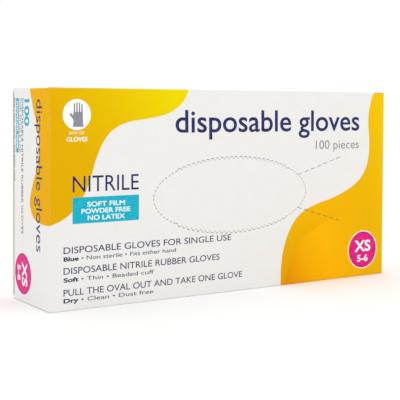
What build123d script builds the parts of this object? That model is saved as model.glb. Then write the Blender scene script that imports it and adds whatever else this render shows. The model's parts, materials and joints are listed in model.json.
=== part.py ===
"""A folding carton that dispenses a hundred disposable gloves through an oval in its large face.

The carton stands on one long narrow side: +X runs along its length, +Y from the dispensing face to
the back, +Z up. The origin is the middle of the footprint. Every panel and flap between two creases
is a solid of its own, and each crease that moves has a narrow gap beside its hinge line.
Lengths are millimetres.
"""

import os
from math import atan2, cos, degrees, pi, radians, sin, tan

from build123d import *

# Carton, measured over the outside.
CARTON_LENGTH = 240.0
CARTON_DEPTH = 50.0
CARTON_HEIGHT = 120.0
BOARD = 0.5  # thickness of the folding boxboard
CREASE_GAP = 0.1  # free board at a crease, between two panels that hinge on it

# Glued seam inside the lower back corner.
SEAM_FLAP_WIDTH = 15.0
SEAM_FLAP_END_SETBACK = 4.0
SEAM_FLAP_END_ANGLE = 75.0  # degrees, between the flap's ends and its root
GLUE_THICKNESS = 0.1
GLUE_BEAD_WIDTH = 4.0
GLUE_BEAD_SPACING = 7.0
GLUE_END_SETBACK = 8.0

# End closures: a lid with a tuck flap, over two dust flaps.
LID_SIDE_SETBACK = 0.3  # from the top and bottom of the carton to the lid's long edges
LID_BACK_CLEARANCE = 0.3  # from the lid's free crease to the back panel
LID_DUST_GAP = 0.1  # between the lid and the dust flaps under it
TUCK_LENGTH = 15.0
TUCK_SHOULDER = 2.2  # how much the tuck flap is narrower than the lid, at each side
TUCK_CORNER_RADIUS = 9.0
TUCK_LEAN = 12.0  # degrees that the tuck flap leans in, away from the back panel
TUCK_CREASE_GAP = 0.2
DUST_LENGTH = 42.0
DUST_FRONT_CLEARANCE = 1.0
DUST_BACK_CLEARANCE = 3.0
DUST_TAPER = 17.0  # degrees, on the edge beside the lid's hinge
DUST_TIP_CHAMFER = 7.0  # on the corner that guides the tuck flap in

# Dispensing oval and the tear tab beside it.
OVAL_HALF_LENGTH = 55.2
OVAL_HALF_HEIGHT = 22.0
OVAL_CENTRE_X = -1.5
OVAL_DROP = 2.0  # of the oval's centre, below the middle of the face
PERFORATION_CUT = 0.4  # width of the cut round the oval and along the tear lines
TIE_WIDTH = 0.8  # of one nick of uncut board that holds the oval
TIE_GAP = 0.1  # what is left of the cut at a nick
TIE_COUNT = 56
TAB_HALF_HEIGHT_AT_OVAL = 10.2
TAB_HALF_HEIGHT_AT_FOLD = 21.0
TAB_REACH = 85.5  # from the oval's centre to the tab's fold line
TAB_UNDERLAP = 5.0  # how far the tab's outline is drawn in under the oval before it is trimmed

# Gloves, laid flat one on another and facing alternate ways.
GLOVE_COUNT = 100
GLOVES_PER_LAYER = 5
GLOVE_THICKNESS = 0.16  # both walls of a pressed glove
GLOVE_HEADSPACE = 6.0  # between the dispensing face and the first glove
GLOVE_TUCK_CLEARANCE = 0.4  # between the last glove and the tip of a tuck flap
GLOVE_END_CLEARANCE = 2.5  # between a glove and the dust flaps
GLOVE_FLOOR_CLEARANCE = 0.3
GLOVE_TOP_CLEARANCE = 6.0
THUMB_REACH = 30.0  # how far the thumb stands out beside the palm
FINGER_WIDTH = 17.0
FINGER_LENGTH = 72.0
FINGER_TIP_STEPS = (12.0, 3.0, 0.0, 7.0)  # how much each finger is shorter than the longest
FINGER_ROOT_GAP = 1.6
PALM_LENGTH = 78.0
THUMB_WIDTH = 19.0
THUMB_ANGLE = 42.0  # degrees from the fingers
CUFF_FLARE = 5.0  # how much wider the cuff is than the palm, at each side

# Places that several pieces share.
half_length = CARTON_LENGTH / 2
half_depth = CARTON_DEPTH / 2
inner_half_depth = half_depth - BOARD
side_half_length = half_length - BOARD - LID_DUST_GAP
lid_reach = CARTON_DEPTH - BOARD - LID_BACK_CLEARANCE  # from the lid's hinge to its free crease
lid_free_y = lid_reach - half_depth
oval_centre_z = CARTON_HEIGHT / 2 - OVAL_DROP
fold_x = OVAL_CENTRE_X + TAB_REACH
seam_flap_bottom = BOARD + GLUE_THICKNESS
seam_flap_length = 2 * (side_half_length - SEAM_FLAP_END_SETBACK)

outer_face = Plane.XZ.offset(half_depth)  # the dispensing face, seen from outside
back_inner_face = Plane.XZ.offset(-inner_half_depth)


def tab_corners(inset):
    """The tear tab's four corners on the face, drawn in by an inset along the tear lines."""
    oval_share = (TAB_HALF_HEIGHT_AT_OVAL / OVAL_HALF_HEIGHT) ** 2
    tear_start = OVAL_HALF_LENGTH * (1 - oval_share) ** 0.5
    slope = (TAB_HALF_HEIGHT_AT_FOLD - TAB_HALF_HEIGHT_AT_OVAL) / (TAB_REACH - tear_start)
    upright_inset = inset * (1 + slope**2) ** 0.5
    left_x = OVAL_CENTRE_X + tear_start - TAB_UNDERLAP
    left_half = TAB_HALF_HEIGHT_AT_OVAL - slope * TAB_UNDERLAP - upright_inset
    fold_half = TAB_HALF_HEIGHT_AT_FOLD - upright_inset
    return [
        (left_x, oval_centre_z + left_half),
        (fold_x, oval_centre_z + fold_half),
        (fold_x, oval_centre_z - fold_half),
        (left_x, oval_centre_z - left_half),
    ]


def save(piece, name):
    piece.label = name
    export_step(piece, f"parts/{name}.step")
    print(f"{name}: {len(piece.solids())} solids, {piece.volume / 1000:.2f} cm3")


os.makedirs("parts", exist_ok=True)

# Front panel, with the hole that the oval and the tear tab leave.
with BuildPart() as front_panel:
    with BuildSketch(outer_face):
        with Locations((0, CARTON_HEIGHT / 2)):
            Rectangle(CARTON_LENGTH, CARTON_HEIGHT)
        with Locations((OVAL_CENTRE_X, oval_centre_z)):
            Ellipse(
                OVAL_HALF_LENGTH + PERFORATION_CUT / 2,
                OVAL_HALF_HEIGHT + PERFORATION_CUT / 2,
                mode=Mode.SUBTRACT,
            )
        with BuildLine():
            Polyline(*tab_corners(-PERFORATION_CUT / 2), close=True)
        make_face(mode=Mode.SUBTRACT)
    extrude(amount=-BOARD)
save(front_panel.part, "front_panel")

# Oval window, held in its hole by nicks.
with BuildPart() as tear_window:
    with BuildSketch(outer_face):
        with Locations((OVAL_CENTRE_X, oval_centre_z)):
            Ellipse(OVAL_HALF_LENGTH - PERFORATION_CUT / 2, OVAL_HALF_HEIGHT - PERFORATION_CUT / 2)
        for tie in range(TIE_COUNT):
            around = 2 * pi * (tie + 0.5) / TIE_COUNT
            tie_x = OVAL_CENTRE_X + OVAL_HALF_LENGTH * cos(around)
            tie_z = oval_centre_z + OVAL_HALF_HEIGHT * sin(around)
            outward = atan2(OVAL_HALF_LENGTH * sin(around), OVAL_HALF_HEIGHT * cos(around))
            with Locations((tie_x, tie_z)):
                Rectangle(2 * PERFORATION_CUT, TIE_WIDTH, rotation=degrees(outward))
        with Locations((OVAL_CENTRE_X, oval_centre_z)):
            Ellipse(
                OVAL_HALF_LENGTH + PERFORATION_CUT / 2 - TIE_GAP,
                OVAL_HALF_HEIGHT + PERFORATION_CUT / 2 - TIE_GAP,
                mode=Mode.INTERSECT,
            )
    extrude(amount=-BOARD)
save(tear_window.part, "tear_window")

# Tear tab between the two tear lines, which folds out beside the oval.
with BuildPart() as tear_tab:
    with BuildSketch(outer_face):
        with BuildLine():
            Polyline(*tab_corners(PERFORATION_CUT / 2), close=True)
        make_face()
        with Locations((OVAL_CENTRE_X, oval_centre_z)):
            Ellipse(
                OVAL_HALF_LENGTH + PERFORATION_CUT / 2,
                OVAL_HALF_HEIGHT + PERFORATION_CUT / 2,
                mode=Mode.SUBTRACT,
            )
        with Locations((fold_x, oval_centre_z)):
            Rectangle(2 * CREASE_GAP, 2 * TAB_HALF_HEIGHT_AT_FOLD, mode=Mode.SUBTRACT)
    extrude(amount=-BOARD)
save(tear_tab.part, "tear_tab")

# Back panel, between the two narrow sides.
with BuildPart() as back_panel:
    with BuildSketch(back_inner_face):
        with Locations((0, CARTON_HEIGHT / 2)):
            Rectangle(CARTON_LENGTH, CARTON_HEIGHT - 2 * BOARD)
    extrude(amount=-BOARD)
save(back_panel.part, "back_panel")

# Narrow sides, front inner face to the back of the carton.
for name, height in (("lower_side_panel", 0.0), ("upper_side_panel", CARTON_HEIGHT - BOARD)):
    with BuildPart() as side_panel:
        with BuildSketch(Plane.XY.offset(height)):
            with Locations((0, BOARD / 2)):
                Rectangle(2 * side_half_length, CARTON_DEPTH - BOARD)
        extrude(amount=BOARD)
    save(side_panel.part, name)

# Seam flap, glued down on the lower side panel with two beads.
with BuildPart() as seam_flap:
    with BuildSketch(Plane.XY.offset(seam_flap_bottom)):
        with Locations((0, inner_half_depth - SEAM_FLAP_WIDTH / 2)):
            Trapezoid(seam_flap_length, SEAM_FLAP_WIDTH, SEAM_FLAP_END_ANGLE, rotation=180)
    extrude(amount=BOARD)
save(seam_flap.part, "seam_flap")

with BuildPart() as seam_glue:
    with BuildSketch(Plane.XY.offset(BOARD)):
        with Locations((0, inner_half_depth - SEAM_FLAP_WIDTH / 2)):
            with GridLocations(0, GLUE_BEAD_SPACING, 1, 2):
                SlotOverall(2 * (side_half_length - GLUE_END_SETBACK), GLUE_BEAD_WIDTH)
    extrude(amount=GLUE_THICKNESS)
save(seam_glue.part, "seam_glue")

# End lid. It hinges on the dispensing face's end crease, whose line is the carton's outer corner.
with BuildPart() as left_lid:
    with BuildSketch(Plane.YZ.offset(-half_length)):
        near_y = CREASE_GAP - inner_half_depth
        with Locations(((near_y + lid_free_y) / 2, CARTON_HEIGHT / 2)):
            Rectangle(lid_free_y - near_y, CARTON_HEIGHT - 2 * LID_SIDE_SETBACK)
    extrude(amount=BOARD)

# Tuck flap. It starts inside the lid's free crease and leans in from the back panel.
lean = radians(TUCK_LEAN)
tuck_outer_face = Plane(
    origin=(-half_length, lid_free_y, CARTON_HEIGHT / 2),
    x_dir=(cos(lean), -sin(lean), 0),
    z_dir=(sin(lean), cos(lean), 0),
)
tuck_root = BOARD + TUCK_CREASE_GAP
tuck_half_width = CARTON_HEIGHT / 2 - LID_SIDE_SETBACK - TUCK_SHOULDER
with BuildPart() as left_tuck:
    with BuildSketch(tuck_outer_face) as tuck_outline:
        with Locations(((tuck_root + TUCK_LENGTH) / 2, 0)):
            Rectangle(TUCK_LENGTH - tuck_root, 2 * tuck_half_width)
        fillet(tuck_outline.vertices().group_by(Axis.X)[-1], TUCK_CORNER_RADIUS)
    extrude(amount=-BOARD)

# Dust flap on the upper side panel's end crease, under the lid.
dust_front_y = DUST_FRONT_CLEARANCE - inner_half_depth
dust_back_y = inner_half_depth - DUST_BACK_CLEARANCE
dust_root_z = CARTON_HEIGHT - BOARD - CREASE_GAP
dust_tip_z = CARTON_HEIGHT - DUST_LENGTH
dust_run = dust_root_z - dust_tip_z
with BuildPart() as left_upper_dust_flap:
    with BuildSketch(Plane.YZ.offset(-side_half_length)) as dust_outline:
        with BuildLine():
            Polyline(
                (dust_front_y, dust_root_z),
                (dust_back_y, dust_root_z),
                (dust_back_y, dust_tip_z),
                (dust_front_y + dust_run * tan(radians(DUST_TAPER)), dust_tip_z),
                close=True,
            )
        make_face()
        tip_corner = dust_outline.vertices().group_by(Axis.Z)[0].sort_by(Axis.Y)[-1]
        chamfer(tip_corner, DUST_TIP_CHAMFER)
    extrude(amount=BOARD)

mid_height = Plane.XY.offset(CARTON_HEIGHT / 2)
with BuildPart() as left_lower_dust_flap:
    mirror(left_upper_dust_flap.part, about=mid_height)

# The right end is the left end's mirror image.
left_end = {
    "lid": left_lid,
    "tuck_flap": left_tuck,
    "upper_dust_flap": left_upper_dust_flap,
    "lower_dust_flap": left_lower_dust_flap,
}
for name, left_piece in left_end.items():
    save(left_piece.part, f"left_{name}")
    with BuildPart() as right_piece:
        mirror(left_piece.part, about=Plane.YZ)
    save(right_piece.part, f"right_{name}")

# One glove, flat in the XZ plane, its cuff to the left and its thumb up.
tuck_tip_y = lid_free_y - TUCK_LENGTH * sin(lean) - BOARD
glove_first_y = GLOVE_HEADSPACE - inner_half_depth
glove_pitch = (tuck_tip_y - GLOVE_TUCK_CLEARANCE - GLOVE_THICKNESS - glove_first_y) / (GLOVE_COUNT - 1)
glove_half_length = side_half_length - BOARD - GLOVE_END_CLEARANCE
glove_bottom_z = seam_flap_bottom + BOARD + GLOVE_FLOOR_CLEARANCE
glove_top_z = CARTON_HEIGHT - BOARD - GLOVE_TOP_CLEARANCE
palm_bottom_z = glove_bottom_z + CUFF_FLARE
palm_top_z = glove_top_z - THUMB_REACH
palm_width = palm_top_z - palm_bottom_z
finger_root_x = glove_half_length - FINGER_LENGTH
palm_start_x = finger_root_x - PALM_LENGTH
finger_count = len(FINGER_TIP_STEPS)
finger_width = min(FINGER_WIDTH, palm_width / finger_count - FINGER_ROOT_GAP)
finger_pitch = (palm_width - finger_width) / (finger_count - 1)
thumb_root = (palm_start_x + THUMB_WIDTH, palm_top_z - THUMB_WIDTH)
thumb_rise = glove_top_z - THUMB_WIDTH / 2 - thumb_root[1]
thumb_run = thumb_rise / tan(radians(THUMB_ANGLE))
thumb_tip = (thumb_root[0] + thumb_run, thumb_root[1] + thumb_rise)

with BuildPart() as glove:
    with BuildSketch(Plane.XZ):
        with BuildLine():
            Polyline(
                (-glove_half_length, palm_bottom_z - CUFF_FLARE),
                (palm_start_x, palm_bottom_z),
                (finger_root_x, palm_bottom_z),
                (finger_root_x, palm_top_z),
                (palm_start_x, palm_top_z),
                (-glove_half_length, palm_top_z + CUFF_FLARE),
                close=True,
            )
        make_face()
        for place, short in enumerate(FINGER_TIP_STEPS):
            finger_z = palm_bottom_z + finger_width / 2 + place * finger_pitch
            finger_tip_x = glove_half_length - short - finger_width / 2
            with BuildLine():
                finger_line = Line((finger_root_x - finger_width, finger_z), (finger_tip_x, finger_z))
            SlotArc(finger_line, finger_width)
        with BuildLine():
            thumb_line = Line(thumb_root, thumb_tip)
        SlotArc(thumb_line, THUMB_WIDTH)
    extrude(amount=-GLOVE_THICKNESS)

# The stack, a few gloves to a layer, every other glove turned end for end.
middle_z = (glove_bottom_z + glove_top_z) / 2
for layer in range(GLOVE_COUNT // GLOVES_PER_LAYER):
    with BuildPart() as glove_layer:
        for place in range(GLOVES_PER_LAYER):
            number = layer * GLOVES_PER_LAYER + place
            glove_y = glove_first_y + number * glove_pitch
            turned = number % 2
            with Locations(Location((0, glove_y, turned * 2 * middle_z), (0, turned * 180, 0))):
                add(glove.part)
    save(glove_layer.part, f"glove_layer_{layer + 1:02d}")
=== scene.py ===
"""How a carton of disposable gloves looks: printed boxboard, its cut lines, ink and nitrile film.

Lengths are millimetres until a mesh is made, and the frame's metres from then on.
"""

import json
import math

import bpy
from mathutils import Matrix, Vector
from mathutils.geometry import delaunay_2d_cdt


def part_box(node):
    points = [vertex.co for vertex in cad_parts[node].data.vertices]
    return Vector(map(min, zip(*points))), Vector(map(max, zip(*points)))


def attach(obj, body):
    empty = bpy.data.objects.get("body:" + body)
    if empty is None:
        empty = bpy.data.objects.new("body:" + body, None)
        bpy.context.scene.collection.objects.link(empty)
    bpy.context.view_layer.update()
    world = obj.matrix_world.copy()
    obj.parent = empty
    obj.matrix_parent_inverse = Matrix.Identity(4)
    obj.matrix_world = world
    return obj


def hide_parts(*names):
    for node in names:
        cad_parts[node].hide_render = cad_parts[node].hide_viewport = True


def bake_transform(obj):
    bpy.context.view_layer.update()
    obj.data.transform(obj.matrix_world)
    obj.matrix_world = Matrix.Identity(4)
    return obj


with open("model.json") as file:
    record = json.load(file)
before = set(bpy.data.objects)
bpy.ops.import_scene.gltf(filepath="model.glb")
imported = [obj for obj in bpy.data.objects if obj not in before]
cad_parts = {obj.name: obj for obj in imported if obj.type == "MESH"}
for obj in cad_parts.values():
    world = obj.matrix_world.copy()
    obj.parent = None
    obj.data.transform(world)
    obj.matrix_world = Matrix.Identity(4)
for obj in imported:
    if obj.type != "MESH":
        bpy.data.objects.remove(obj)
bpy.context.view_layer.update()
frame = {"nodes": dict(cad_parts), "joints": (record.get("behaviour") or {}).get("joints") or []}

MM = 1000.0
X, Y, Z = Vector((1, 0, 0)), Vector((0, 1, 0)), Vector((0, 0, 1))


def box_mm(node):
    """A node's low and high corners."""
    low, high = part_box(node)
    return Vector(low) * MM, Vector(high) * MM


def joint_mm(name):
    """A point on a joint's axis."""
    found = next(j for j in frame["joints"] if j["name"] == name)
    return Vector(found["pos_m"]) * MM


# ---------------------------------------------------------------- sizes, from the frame

front_low, front_high = box_mm("front_panel")
back_high = box_mm("back_panel")[1]
side_high = box_mm("upper_side_panel")[1]
seam_low, seam_high = box_mm("seam_flap")
window_low, window_high = box_mm("tear_window")
glove_low, glove_high = box_mm("glove_layer_01")

HALF, HIGH = front_high.x, front_high.z
FRONT, BACK = front_low.y, back_high.y
BOARD = front_high.y - front_low.y
SIDE_HALF = side_high.x
CREASE = 0.8  # outside radius of a folded crease
CREASE_STEPS = 5
SHARP_FROM = math.radians(30)  # angle between two faces whose edge stays sharp
FACE_BULGE = 0.9  # how far the stack of gloves pushes the dispensing face out
BACK_BULGE = 0.5
LID_BULGE = 0.35
BULGE_POWER = 1.25  # how softly a bulge dies away
SLEEVE_COLUMNS, SLEEVE_ROWS = 30, 8

CUT_HALF = 0.17  # half the width of a perforation's slit
NICK_HALF = 0.012  # half of what shows where the tear tab folds
WINDOW_REACH = 0.1  # how far the window's nicks stand out of the oval's line
HOOK_DEPTH = 0.7  # how far a hooked cut swings to each side of the oval's line
HOOK_PITCH = 3.4
DASH_PITCH = 2.6
TEAR_PITCH = 5.5
HOOKS_FROM, HOOKS_TO = math.radians(44), math.radians(136)
FINE_STEPS = 200  # points that measure a line's length
TEAR_STEPS = 20
TAB_HALF_AT_OVAL = 10.2
CORNER_CLEAR = 0.02  # radians of the oval's cut left out at each side of a tear line's corner

TUCK_LENGTH = 15.0
TUCK_CORNER = 9.0  # radius of the tuck flap's free corners
DUST_TAPER = math.radians(17)
DUST_CHAMFER = 7.0
LEAD_IN = 3.0  # of a folded line before its first crease
LID_NOTCH = 0.1  # from the tuck flap's ends to the lid's notches
STRIP_ROWS = 12

# ---------------------------------------------------------------- materials

MATH, RANGE, NOISE, RAMP = "ShaderNodeMath", "ShaderNodeMapRange", "ShaderNodeTexNoise", "ShaderNodeValToRGB"
MIX, BUMP, VECTOR = "ShaderNodeMix", "ShaderNodeBump", "ShaderNodeCombineXYZ"


def srgb(code):
    """A linear colour with alpha from a six-figure sRGB hex code."""
    parts = [int(code[i : i + 2], 16) / 255 for i in (0, 2, 4)]
    return tuple(c / 12.92 if c <= 0.04045 else ((c + 0.055) / 1.055) ** 2.4 for c in parts) + (1.0,)


def feed(tree, node, inputs):
    """Gives a node's inputs: each is a value, a socket, or another node, whose first output is taken."""
    for key, value in dict(inputs).items():
        if isinstance(value, bpy.types.Node):
            value = value.outputs[0]
        if isinstance(value, bpy.types.NodeSocket):
            tree.links.new(value, node.inputs[key])
        else:
            node.inputs[key].default_value = value


def add(tree, kind, inputs=(), stops=(), **settings):
    """Adds one node with its settings, the (place, code) stops of a colour ramp, and its links."""
    made = tree.nodes.new(kind)
    for name, value in settings.items():
        setattr(made, name, value)
    for place, (position, code) in enumerate(stops):
        ends = made.color_ramp.elements
        stop = ends[-1] if place == len(stops) - 1 else ends[0] if place == 0 else ends.new(position)
        stop.position, stop.color = position, srgb(code)
    feed(tree, made, inputs)
    return made


def new_material(name, roughness, **sockets):
    """A material with its shader's plain values set, its node tree, and its shader."""
    made = bpy.data.materials.new(name)
    made.use_nodes = True
    tree = made.node_tree
    shader = next(n for n in tree.nodes if n.type == "BSDF_PRINCIPLED")
    shader.inputs["Roughness"].default_value = roughness
    for key, value in sockets.items():
        shader.inputs[key.replace("_", " ")].default_value = value
    return made, tree, shader


def place_mm(tree):
    """Object coordinates in millimetres, whole and split."""
    coordinates = add(tree, "ShaderNodeTexCoord")
    scaled = add(tree, "ShaderNodeVectorMath", {0: coordinates.outputs["Object"], 3: MM}, operation="SCALE")
    split = add(tree, "ShaderNodeSeparateXYZ", {0: scaled.outputs[0]})
    return scaled.outputs[0], {"x": split.outputs[0], "y": split.outputs[1], "z": split.outputs[2]}


def field_mask(tree, along, across, points, above=True, soft=0.06):
    """1 on one side of a flowing edge: across is compared with a curve through (along, across) points."""
    first, last = points[0][0], points[-1][0]
    low = min(p[1] for p in points) - 1
    high = max(p[1] for p in points) + 1
    curve = add(tree, "ShaderNodeFloatCurve", {1: add(tree, RANGE, {0: along, 1: first, 2: last})})
    line = curve.mapping.curves[0]
    for place, (a, b) in enumerate(points):
        spot = ((a - first) / (last - first), (b - low) / (high - low))
        if place in (0, len(points) - 1):
            line.points[-1 if place else 0].location = spot
        else:
            line.points.new(*spot)
    curve.mapping.update()
    edge = add(tree, RANGE, {0: curve, 1: 0.0, 2: 1.0, 3: low, 4: high})
    beyond = add(tree, MATH, {0: across, 1: edge}, operation="SUBTRACT")
    if not above:
        beyond = add(tree, MATH, {0: beyond, 1: -1.0}, operation="MULTIPLY")
    return add(tree, RANGE, {0: beyond, 1: -soft, 2: soft})


def coated_board(name, fields):
    """Clay-coated folding boxboard, offset printed and sealed: a smooth satin sheet with the
    faintest cloud of the fibres under it. Each field is (along, across, points, above, ramp maker).
    """
    made, tree, shader = new_material(name, 0.5, Specular_IOR_Level=0.03)
    whole, part = place_mm(tree)
    # fibre flocks are about 1.5 mm across, drawn at 6 mm so that they show at all
    flocks = add(tree, NOISE, {"Vector": whole, "Scale": 0.16, "Detail": 5.0, "Roughness": 0.6})
    colour = add(tree, RAMP, {0: flocks}, ((0.3, "EBEAE6"), (0.7, "EEECE9")))
    for along, across, points, above, yellow in fields:
        mask = field_mask(tree, part[along], part[across], points, above)
        colour = add(tree, MIX, {0: mask, 6: colour, 7: yellow(tree, part)}, data_type="RGBA").outputs[2]

    def close(value, edge):
        """1 at an outer face of the carton, 0 at a crease's radius inside it."""
        size = add(tree, MATH, {0: value}, operation="ABSOLUTE")
        gap = add(tree, MATH, {0: edge, 1: size}, operation="SUBTRACT")
        far = add(tree, MATH, {0: gap, 1: 1 / CREASE}, operation="MULTIPLY")
        near = add(tree, MATH, {0: 1.0, 1: far}, operation="SUBTRACT")
        return add(tree, MATH, {0: near, 1: 0.0}, operation="MAXIMUM")

    # a slightly paler line along a folded crease, uneven every few millimetres: partly the coating cracking
    # there, partly a painted highlight on the crease's round
    level = add(tree, MATH, {0: part["z"], 1: HIGH / 2}, operation="SUBTRACT")
    ends, faces, sides = close(part["x"], HALF), close(part["y"], BACK), close(level, HIGH / 2)
    pairs = [
        add(tree, MATH, {0: one, 1: other}, operation="MULTIPLY")
        for one, other in ((ends, faces), (faces, sides), (ends, sides))
    ]
    upright = add(tree, MATH, {0: pairs[0], 1: pairs[1]}, operation="MAXIMUM")
    crease = add(tree, MATH, {0: upright, 1: pairs[2]}, operation="MAXIMUM")
    uneven = add(tree, NOISE, {"Vector": whole, "Scale": 0.55, "Detail": 4.0})
    crack_and_highlight_strength = add(tree, RANGE, {0: uneven, 1: 0.35, 2: 0.65, 3: 0.0, 4: 0.18})
    cracked_and_highlit_share = add(tree, MATH, {0: crease, 1: crack_and_highlight_strength}, operation="MULTIPLY")
    # the sheet's tooth, about 0.4 mm across
    tooth = add(tree, NOISE, {"Vector": whole, "Scale": 2.4, "Detail": 3.0})
    # the base colour takes in the paler crease line: part cracked coating, part painted highlight
    feed(tree, shader, {
        "Base Color": add(
            tree, MIX, {0: cracked_and_highlit_share, 6: colour, 7: srgb("F7F1DC")}, data_type="RGBA"
        ).outputs[2],
        "Normal": add(tree, BUMP, {"Height": tooth, "Strength": 0.06, "Distance": 0.00003}),
        "Roughness": add(tree, RANGE, {0: flocks, 1: 0.3, 2: 0.7, 3: 0.46, 4: 0.56}),
    })
    return made


def slope(tree, part, rise, run=0.0, low=0.0, left=0.0):
    """A share that grows with height above low by the rise, and with x past left by the run."""
    above = add(tree, MATH, {0: part["z"], 1: low}, operation="SUBTRACT")
    past = add(tree, MATH, {0: part["x"], 1: left}, operation="SUBTRACT")
    height = add(tree, MATH, {0: above, 1: rise}, operation="MULTIPLY")
    along = add(tree, MATH, {0: past, 1: run}, operation="MULTIPLY")
    return add(tree, MATH, {0: height, 1: along}, operation="ADD")


def lemon_to_gold(tree, part):
    """The upper left field: gold at the end of the carton, lemon towards the middle."""
    share = slope(tree, part, 0.006, 0.0085, HIGH / 2, -HALF)
    return add(tree, RAMP, {0: share}, ((0.0, "E3AB00"), (0.33, "E4B000"), (0.6, "E8BF00"), (1.0, "EFD902")))


def orange_to_gold(tree, part):
    """The lower right field: orange along its foot, then gold, paler at the top."""
    glow = add(tree, RAMP, {0: slope(tree, part, 0.00286, 0.0077, 0.0, 34.0)}, (
        (0.0, "DA9000"), (0.0605, "E09600"), (0.1265, "ECA200"), (0.209, "F3AF00"), (0.33, "FAB702"),
        (0.495, "F2B500"), (0.6545, "EAB400"), (0.8195, "EDBB02"), (0.935, "F3C502"),
    ))
    share = slope(tree, part, 0.01)
    band = add(tree, RAMP, {0: share}, ((0.0, "E09E00"), (0.15, "E6A700"), (0.5, "F1B600")))
    inside = field_mask(tree, part["z"], part["x"], INNER_ARC, True, 0.5)
    higher = add(tree, RANGE, {0: part["z"], 1: 37.0, 2: 62.0})
    either = add(tree, MATH, {0: inside, 1: higher}, operation="MAXIMUM")
    return add(tree, MIX, {0: either, 6: band, 7: glow}, data_type="RGBA").outputs[2]


def plain_gold(tree, part):
    """The fields on the narrow faces: gold, a little paler towards the top."""
    return add(tree, RAMP, {0: slope(tree, part, 0.008)}, ((0.3, "E9AA00"), (1.0, "EEB200")))


# the edges of the printed fields, as points (along, across) in millimetres
LEFT_FIELD = (
    (-120, 46.5), (-111.6, 49.8), (-105.5, 54.6), (-100.3, 61.4), (-95.7, 72), (-92.4, 82),
    (-87.3, 92), (-81, 98), (-73, 101.3), (-60, 103.4), (-48.3, 105.8), (-40.6, 109.7), (-36, 114.1),
    (-33, 120.5),
)
RIGHT_FIELD = (
    (-0.5, 34.7), (12, 34.9), (19.7, 35.9), (28.2, 38.4), (35.9, 42.3), (41.9, 47.3), (46.3, 54.4),
    (48.9, 61.8), (53.1, 78), (56.7, 87.5), (61.4, 96.2), (67, 102), (75.3, 105.9), (86, 107.1), (102.9, 106),
    (111.2, 107.3), (120.5, 110.6),
)
LEFT_END_FIELD = (
    (46.2, -25.5), (46.6, -13), (48.7, -5.4), (52.6, -1.2), (57, 0.3), (62, -1.2), (68, -3.9), (76, -8.7),
    (84.4, -11.1), (92.7, -11), (101.6, -7.6), (110, -3.1), (120, 1.3),
)
# a fainter arc inside the right field
INNER_ARC = (
    (-0.5, 37.2), (3.8, 38.5), (17.6, 43.4), (26, 48.8), (29.8, 53), (32.9, 59.6), (38.1, 72.2), (42, 90),
    (46, 122),
)
RIGHT_END_FIELD = ((0, -5), (20, -13), (40, -16), (60, -10), (80, -3), (100, 0), (120, -4))
TOP_LEFT_FIELD = ((-25.5, -33), (-15, -38), (-5, -55), (5, -84), (15, -104), (25.5, -122))
TOP_RIGHT_FIELD = ((-25.5, 111), (-10, 115), (5, 121), (25.5, 125))
UNDER_FIELD = ((-25.5, 34.7), (-10, 38), (5, 50), (25.5, 88))
BACK_FIELD = ((0, 88), (15, 96), (35, 104), (60, 122), (120, 130))

BOARD_FRONT, BOARD_LEFT_END, BOARD_RIGHT_END, BOARD_TOP, BOARD_UNDER, BOARD_BACK, BOARD_PLAIN = (
    coated_board(f"clay_coated_boxboard_{name}", fields)
    for name, fields in (
        ("front", (
            ("x", "z", LEFT_FIELD, True, lemon_to_gold), ("z", "x", RIGHT_FIELD, True, orange_to_gold),
        )),
        ("left_end", (("z", "y", LEFT_END_FIELD, False, plain_gold),)),
        ("right_end", (("z", "y", RIGHT_END_FIELD, False, plain_gold),)),
        ("top", (
            ("y", "x", TOP_LEFT_FIELD, False, lemon_to_gold), ("y", "x", TOP_RIGHT_FIELD, True, plain_gold),
        )),
        ("under", (("y", "x", UNDER_FIELD, True, orange_to_gold),)),
        ("back", (("z", "x", BACK_FIELD, True, orange_to_gold),)),
        ("unprinted", ()),
    )
)


def uncoated_board():
    """The inside of recycled boxboard: warm grey, matt, with flecks of darker fibre."""
    made, tree, shader = new_material("uncoated_recycled_boxboard", 0.92, Specular_IOR_Level=0.2)
    whole, _ = place_mm(tree)
    # single fibres are finer than this; bundles of 0.8 mm read as flecks
    flecks = add(tree, NOISE, {"Vector": whole, "Scale": 1.3, "Detail": 6.0, "Roughness": 0.7})
    feed(tree, shader, {
        "Base Color": add(
            tree, RAMP, {0: flecks}, ((0.34, "8F8474"), (0.46, "B5AA98"), (0.7, "C6BCAB"))
        ),
        "Normal": add(tree, BUMP, {"Height": flecks, "Strength": 0.3, "Distance": 0.00005}),
    })
    return made


def two_tone(name, roughness, scale, detail, stops, **sockets):
    """A plain surface whose colour wavers between two tones."""
    made, tree, shader = new_material(name, roughness, **sockets)
    whole, _ = place_mm(tree)
    cloud = add(tree, NOISE, {"Vector": whole, "Scale": scale, "Detail": detail})
    feed(tree, shader, {"Base Color": add(tree, RAMP, {0: cloud}, stops)})
    return made


def ink(name, code, roughness=0.4):
    """Offset ink under the sealing varnish: flat and even, with a slight unevenness of lay-down."""
    made, tree, shader = new_material(name, roughness, Specular_IOR_Level=0.07)
    whole, _ = place_mm(tree)
    cloud = add(tree, NOISE, {"Vector": whole, "Scale": 0.5, "Detail": 4.0})
    share = add(tree, RANGE, {0: cloud, 1: 0.3, 2: 0.7, 3: 0.0, 4: 0.03})
    colour = add(tree, MIX, {0: share, 6: srgb(code), 7: srgb("FFFFFF")}, data_type="RGBA").outputs[2]
    feed(tree, shader, {"Base Color": colour})
    return made


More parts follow.
